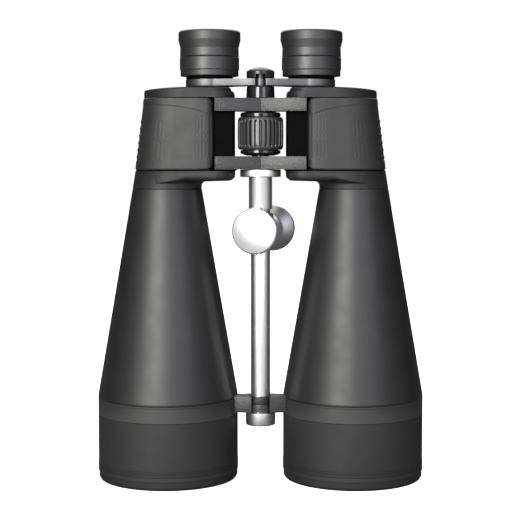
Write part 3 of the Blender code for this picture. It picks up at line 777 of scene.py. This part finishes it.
def make_bridge_arm(name, side, look):
    """The eyepiece bridge: a flat ring and bar, and the hook round the spindle, open at the front."""
    body = f"{name}_eyepiece"
    low, high = span(f"{name}_bridge_arm")
    hook_r, ring_r, hook_gap, slot_half = 8.6, 16.6, 0.15, 3.5
    hook_y, ring_y = HINGE_Y - hook_r, EYE_Y - ring_r + 0.4
    steps = 16
    front = []
    for k in range(steps + 1):
        share = k / steps
        front.append((3.6 + 32.0 * share, hook_y + (ring_y - hook_y) * smooth_step(share, 0.0, 1.0)))
    bar = [(side * x, y) for x, y in front + [(26.0, 17.2), (4.2, -0.8)]]
    split = (low + high) / 2 + 0.1
    own = (low, split) if side > 0 else (split + hook_gap, high)
    other = (split, high + PAST) if side > 0 else (low - PAST, split + hook_gap)
    through = (low - PAST, high + PAST)
    slot = slab([(-slot_half, -25), (slot_half, -25), (slot_half, HINGE_Y), (-slot_half, HINGE_Y)], *through)
    built = carved(
        slab(bar, low, high),
        [
            ("DIFFERENCE", disc(0, HINGE_Y, hook_r + GAP, *other)),
            ("UNION", disc(0, HINGE_Y, hook_r, *own)),
            ("UNION", disc(side * EYE_X, EYE_Y, ring_r, low, high, MIDDLE_ROUND)),
            ("DIFFERENCE", disc(side * EYE_X, EYE_Y, 11.1, *through)),
            ("DIFFERENCE", disc(0, HINGE_Y, 4.75, *through)),
            ("DIFFERENCE", slot),
        ],
    )
    piece(f"{name}_bridge", built, look["brushed"], body, [f"{name}_bridge_arm"])


def make_eyepiece(name, side, look):
    """Guide, sleeve, ring, cup and rear lens. The right ring turns, and the right lens shifts with it."""
    at = (side * EYE_X, EYE_Y, 0)
    body = f"{name}_eyepiece"
    ocular = "right_ocular" if name == "right" else body
    ring_body = "dioptre_ring" if name == "right" else body
    ring_node = "right_dioptre_ring" if name == "right" else "left_ocular_ring"
    guide = [
        (13.4, 274.4, 0.3), (13.4, 272.0), (12.2, 272.0), (12.2, 259.2), (11.2, 259.2), (11.2, 274.4, 0.2),
    ]
    piece(
        f"{name}_guide", spun(guide, SMALL_ROUND), look["gloss"], f"{name}_half", [f"{name}_eyepiece_guide"],
        at,
    )
    tube = [
        (15.4, 294.0), (15.4, 283.4), (16.3, 283.4), (16.3, 279.6, 0.4), (10.9, 279.6), (10.9, 246.0),
        (9.4, 246.0), (9.4, 281.5), (13.4, 281.5), (13.4, 294.0),
    ]
    # The tube takes the near-black shell paint, which is painted shade for the dim gap between the cup and
    # the bridge.
    piece(
        f"{name}_eye_tube", spun(tube, SMALL_ROUND), look["shell"], body, [f"{name}_eyepiece_barrel"],
        at,
    )
    ring = [
        (17.0, 301.6), (17.0, 294.9), (20.5, 294.9, 0.4), (20.7, 294.2, 0.3),
        (20.7, 293.6), (20.7, 286.2), (20.35, 285.8, 0.15), (20.25, 285.3, 0.15), (20.3, 281.7, 0.5),
        (16.65, 281.6), (16.65, 283.8), (15.75, 283.8), (15.75, 301.6),
    ]
    turned = spun(ring, MIDDLE_ROUND)
    piece(f"{name}_eye_ring", turned, look["soft"], ring_body, [ring_node], at)
    cup = [
        (18.7, TOP - 0.5, 0.4), (19.3, TOP, 0.5), (20.7, TOP, 1.0), (21.55, TOP - 1.0, 0.8),
        (21.7, 306.6, 2.0), (20.95, 303.8, 3.0), (20.4, 301.4, 0.5), (20.3, 301.1, 0.1), (20.4, 300.8, 0.1),
        (20.45, 296.2, 0.4), (20.7, 295.2, 0.3), (17.35, 295.2), (17.35, 302.2), (12.0, 302.2, 0.2),
        (12.0, 303.6, 0.8), (14.8, 304.7, 1.5), (17.6, 309.5, 3.0),
    ]
    turned = spun(cup, MIDDLE_ROUND)
    piece(f"{name}_cup", turned, look["soft"], ring_body, [f"{name}_eyecup"], at)
    lens_r, steps = 10.9, 10
    lens = [(lens_r * k / steps, 299.3 - 1.4 * (k / steps) ** 2) for k in range(steps + 1)]
    lens += [(lens_r, 294.5, 0.2), (0.0, 294.5)]
    piece(f"{name}_rear_lens", spun(lens, 64), look["lens"], ocular, [f"{name}_eye_lens"], at)


def make_centre(look):
    """What is turned about the hinge's axis: axle and post, socket, rod, wheel, spindle and cap."""
    at = (0, HINGE_Y, 0)
    post = [
        (0, 222.0), (3.6, 222.0), (3.6, 273.4, 0.2), (4.4, 274.2, 0.2), (9.3, 274.2, 0.6), (9.55, 273.2, 0.4),
        (9.8, 266.2, 0.2), (6.0, 266.2), (6.0, 213.5), (0, 213.5),
    ]
    socket = [
        (14.1, 217.0, 0.5), (14.1, 211.9, 0.6), (8.15, 211.9, 0.15), (8.15, 189.6, 0.5), (7.0, 189.6),
        (7.0, 210.6), (6.3, 210.6), (6.3, 217.0),
    ]
    rod = [(0, 210.3), (6.75, 210.3), (6.75, 40.9), (0, 40.9)]
    end_cap = [
        (0, 40.6), (7.0, 40.6), (7.0, 47.7), (10.15, 47.7, 0.3), (10.4, 47.2, 0.2), (10.4, 39.5, 0.5),
        (9.9, 38.8, 0.3), (0, 38.8),
    ]
    core = [
        (8.3, 256.9, 0.2), (9.4, 256.8, 0.3), (13.0, 256.2, 0.4), (13.9, 255.4, 0.4), (13.9, 253.6, 0.2),
        (13.4, 253.2, 0.3), (12.0, 253.2), (12.0, 230.5), (13.4, 230.5, 0.3), (13.9, 230.1, 0.2),
        (13.9, 228.5, 0.4), (12.6, 227.5, 0.5), (9.4, 226.6, 0.3), (8.3, 226.5, 0.2), (6.4, 226.5),
        (6.4, 256.9),
    ]
    screw = [
        (0, 284.0), (3.2, 284.0), (3.2, 279.5), (4.4, 279.5, 0.2), (4.4, 274.5, 0.2), (3.2, 274.5),
        (3.2, 224.0), (0, 224.0),
    ]
    for name, profile, finish, body, node, slot in (
        ("centre_post", post, "gloss", "centre", "hinge_axle", "gloss_black"),
        ("flange_and_sleeve", socket, "chrome", "centre", "axle_socket", "bright_metal"),
        ("rod", rod, "chrome", "centre", "brace_rod", "bright_metal"),
        ("rod_end", end_cap, "chrome", "centre", "rod_end_cap", "bright_metal"),
        ("wheel_core", core, "gloss", "focus_wheel", "focus_wheel", "gloss_black"),
        ("spindle", screw, "brushed", "focus_spindle", "focus_spindle", "bright_metal"),
    ):
        piece(name, spun(profile, MIDDLE_ROUND), look[finish], body, [node], at)
    make_cap(look, at)
    make_grip(look, at)


def make_cap(look, at):
    """The spindle's domed cap, with a slot at the front through which the spindle shows."""
    steps, arc = 8, 0.62
    cap = []
    for k in range(steps + 1):
        share = k / steps
        cap.append((9.2 * math.sin(arc * share) / math.sin(arc), 287.4 - 2.6 * share ** 2))
    cap += [(9.6, 284.3, 0.3), (9.6, 279.8, 0.4), (3.5, 279.8), (3.5, 284.4), (0, 284.4)]
    slot = slab([(-3.3, -14), (3.3, -14), (3.3, 0), (-3.3, 0)], 275.0, 282.3)
    slotted = carved(spun(cap, MIDDLE_ROUND), [("DIFFERENCE", slot)])
    piece("cap", slotted, look["cap"], "focus_spindle", ["spindle_cap"], at)


def make_grip(look, at):
    """The wheel's rubber sleeve: barrel shaped, with round-ended flutes between its ribs."""
    low, high = span("focus_grip")
    middle, half = (low + high) / 2, (high - low) / 2
    ribs, depth, rows = 28, 2.6, 44
    greatest_r, bore_r = 15.9, 12.3
    flute_half = half - 3.05  # how far up and down a flute runs before its round end

    def sleeve_radius(height):
        away = abs(height - middle) / half
        return greatest_r - 0.35 * away ** 3 - 1.05 * away ** 14

    def flute(angle, radius, height):
        if radius < bore_r + 0.7:
            return radius
        away = 1 - (angle * ribs / math.tau + 0.5) % 1.0 * 2
        across_mm = abs(away) * math.pi * greatest_r / ribs
        beyond = max(abs(height - middle) - flute_half, 0.0)
        return radius - depth * (1 - smooth_step(math.hypot(across_mm, beyond), 0.40, 1.0))

    heights = [high - (high - low) * k / rows for k in range(rows + 1)]
    profile = [(bore_r, high)] + [(sleeve_radius(z), z) for z in heights] + [(bore_r, low)]
    piece(
        "wheel_grip", spun(profile, ribs * 18, flute), look["grip"], "focus_wheel", ["focus_grip"],
        at, sharp=70,
    )


def make_adapter(look):
    """The tripod adapter, turned about its own level axis, whose +Z end points to the front."""
    at = (0, HINGE_Y, ADAPTER_Z)
    lay = Matrix.Rotation(-ADAPTER_YAW, 4, "Z") @ Matrix.Rotation(math.radians(90), 4, "X")
    screw_r = 3.3
    body = [
        (0.0, 12.1), (screw_r, 12.1), (13.1, 12.1, 0.3), (13.5, 11.7, 0.2), (13.5, 9.9, 0.4),
        (12.0, 9.6, 0.2), (12.0, -12.6, 0.8), (7.0, -15.5, 2.5), (7.0, -20.5, 4.0), (9.5, -25.5, 3.0),
        (16.1, -31.2, 0.6), (16.5, -31.8, 0.3), (16.5, -33.6, 0.3), (16.2, -34.0, 0.2), (screw_r, -34.0),
        (3.0, -33.6), (3.0, -25.0), (0.0, -25.0),
    ]
    rod_bore = disc(0, 0, 9.2, -40, 40, 64)
    bmesh.ops.transform(rod_bore, matrix=Matrix.Rotation(math.radians(90), 4, "X"), verts=rod_bore.verts)
    screw_bore = disc(0, 0, screw_r, 5.0, 20.0, 48)
    built = carved(spun(body, MIDDLE_ROUND), [("DIFFERENCE", screw_bore), ("DIFFERENCE", rod_bore)])
    piece("adapter", built, look["coned"], "adapter", ["adapter_body"], at, turn=lay)
    bush = [(8.95, 12.0, 0.3), (8.95, -12.0, 0.3), (7.1, -12.0), (7.1, 12.0)]
    split = carved(
        spun(bush, SMALL_ROUND),
        [("DIFFERENCE", slab([(5, -0.75), (12, -0.75), (12, 0.75), (5, 0.75)], -14, 14))],
    )
    piece("bush", split, look["brass"], "adapter_bush", ["adapter_bush"], at)

    teeth, notch, rim_r = 60, 0.55, 15.6

    def coin(angle, radius, height):
        """Straight knurls round the knob's rim."""
        if radius <= rim_r:
            return radius
        return radius - notch * (0.5 - 0.5 * math.cos(angle * teeth)) ** 0.7

    knob = [
        (0, 17.95), (14.6, 17.95), (15.3, 17.7, 0.2), (15.5, 17.4, 0.1), (16.0, 17.2, 0.15),
        (16.0, 13.3, 0.15), (15.4, 12.8, 0.2), (14.9, 12.5), (2.7, 12.5), (2.7, 11.7), (0, 11.7),
    ]
    piece(
        "knob", spun(knob, teeth * 6, coin), look["chrome"], "lock_knob", ["lock_knob"], at,
        turn=lay, sharp=24,
    )
    shoe = [(0, 11.4), (2.5, 11.4), (2.7, 11.2), (2.7, 10.1), (2.5, 9.9), (0, 9.9)]
    piece("shoe", spun(shoe, 32), look["brass"], "clamp_shoe", ["clamp_shoe"], at, turn=lay)


def dress_inner_nodes(look):
    """The carried-over inner pieces keep their CAD shape and get their material."""
    finishes = {
        "prism_shelf": "brushed", "upper_prism": "prism", "lower_prism": "prism",
        "lens_retaining_ring": "baffle", "objective_flint_lens": "lens", "field_lens": "lens",
        "ocular_cell": "baffle",
    }
    for name in ("left", "right"):
        for node, finish in finishes.items():
            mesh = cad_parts[f"{name}_{node}"].data
            mesh.materials.clear()
            mesh.materials.append(look[finish])


# ---------------------------------------------------------------- studio


def area_light(name, place, target, size, power, colour):
    data = bpy.data.lights.new(name, "AREA")
    data.shape = "RECTANGLE"
    data.size, data.size_y = size
    data.energy = power
    data.color = colour
    light = bpy.data.objects.new(name, data)
    bpy.context.scene.collection.objects.link(light)
    light.location = place
    light.rotation_euler = (Vector(target) - Vector(place)).to_track_quat("-Z", "Y").to_euler()
    return light


def floor_material():
    """A pale, lit table top. It shines to the camera only, so that it doesn't light the object from below."""
    matt = Paint("pale_floor", (0.80, 0.80, 0.80), 0.9)
    matt.blend_colour(matt.noise(400), (0.82, 0.82, 0.82))
    tree = matt.tree
    glow = tree.nodes.new("ShaderNodeEmission")
    glow.inputs["Strength"].default_value = 0.94
    both = tree.nodes.new("ShaderNodeAddShader")
    tree.links.new(matt.shader.outputs["BSDF"], both.inputs[0])
    tree.links.new(glow.outputs["Emission"], both.inputs[1])
    dim = tree.nodes.new("ShaderNodeBsdfDiffuse")
    dim.inputs["Color"].default_value = (0.12, 0.12, 0.12, 1.0)
    rays = tree.nodes.new("ShaderNodeLightPath")
    seen = tree.nodes.new("ShaderNodeMixShader")
    tree.links.new(rays.outputs["Is Camera Ray"], seen.inputs["Fac"])
    tree.links.new(dim.outputs["BSDF"], seen.inputs[1])
    tree.links.new(both.outputs["Shader"], seen.inputs[2])
    tree.links.new(seen.outputs["Shader"], tree.nodes["Material Output"].inputs["Surface"])
    return matt.material


def make_world(scene):
    """Pure white to the camera, and a soft grey room to whatever the object mirrors."""
    world = bpy.data.worlds.new("studio")
    scene.world = world
    world.use_nodes = True
    tree = world.node_tree
    sky = tree.nodes["Background"]
    place = tree.nodes.new("ShaderNodeTexCoord")
    parts = tree.nodes.new("ShaderNodeSeparateXYZ")
    tree.links.new(place.outputs["Generated"], parts.inputs["Vector"])
    # A grey front, brightest behind the camera, that falls away to a dark room at the back.
    room = tree.nodes.new("ShaderNodeValToRGB")
    room.color_ramp.interpolation = "EASE"
    stops = [(0.0, 0.012), (0.34, 0.05), (0.52, 0.16), (0.68, 0.46), (0.84, 0.60), (1.0, 0.72)]
    for position, _ in stops[1:-1]:
        room.color_ramp.elements.new(position)
    for element, (position, level) in zip(room.color_ramp.elements, stops):
        element.position = position
        element.color = (level, level, level, 1.0)
    facing = tree.nodes.new("ShaderNodeMapRange")
    facing.inputs["From Min"].default_value = 1.0
    facing.inputs["From Max"].default_value = -1.0
    tree.links.new(parts.outputs["Y"], facing.inputs["Value"])
    tree.links.new(facing.outputs["Result"], room.inputs["Fac"])
    rays = tree.nodes.new("ShaderNodeLightPath")
    seen = tree.nodes.new("ShaderNodeMix")
    seen.data_type = "RGBA"
    tree.links.new(rays.outputs["Is Camera Ray"], seen.inputs["Factor"])
    tree.links.new(room.outputs["Color"], seen.inputs["A"])
    seen.inputs["B"].default_value = (1.05, 1.05, 1.05, 1.0)
    tree.links.new(seen.outputs["Result"], sky.inputs["Color"])


def make_studio():
    """A ceiling, three softboxes, a pale floor and the camera."""
    scene = bpy.context.scene
    scene.view_settings.view_transform = "Standard"
    make_world(scene)

    sun = bpy.data.lights.new("ceiling", "SUN")
    sun.energy = 1.2
    sun.angle = math.radians(70)
    ceiling = bpy.data.objects.new("ceiling", sun)
    scene.collection.objects.link(ceiling)
    for name, place, size, power, colour in (
        ("left_softbox", (-0.60, -1.40, 0.52), (0.62, 1.06), 43.0, (1.0, 1.0, 0.97)),
        ("right_softbox", (0.68, -1.34, 0.50), (0.66, 0.90), 8.5, (0.86, 0.87, 1.0)),
        ("back_softbox", (0.0, 1.70, 1.75), (3.20, 1.90), 44.0, (1.0, 1.0, 1.0)),
    ):
        area_light(name, place, (0, 0, 0.16), size, power, colour)

    # The floor starts under the object and runs back, so that it isn't mirrored in the front.
    half_width, front_edge = 2.5, -0.25
    built = bmesh.new()
    bmesh.ops.create_grid(built, x_segments=1, y_segments=1, size=half_width)
    mesh = bpy.data.meshes.new("floor")
    built.to_mesh(mesh)
    built.free()
    floor = bpy.data.objects.new("floor", mesh)
    scene.collection.objects.link(floor)
    floor.location = (0, front_edge + half_width, 0)
    mesh.materials.append(floor_material())

    down = 4.37  # degrees
    data = bpy.data.cameras.new("camera")
    data.lens = 96.9
    data.sensor_width = 36.0
    camera = bpy.data.objects.new("camera", data)
    scene.collection.objects.link(camera)
    camera.location = (-0.00035, -0.980, 0.2284)
    camera.rotation_euler = (math.radians(90 - down), 0, 0)
    scene.camera = camera


look = make_materials()
make_studio()
for half, side in (("left", -1), ("right", 1)):
    make_barrel(half, side, look)
    make_lug(half, side, look)
    make_housing(half, side, look)
    make_cover(half, side, look)
    make_skirt(half, side, look)
    make_armour(half, side, look)
    make_hinge_arms(half, side, look)
    make_bridge_arm(half, side, look)
    make_eyepiece(half, side, look)
make_centre(look)
make_adapter(look)
dress_inner_nodes(look)
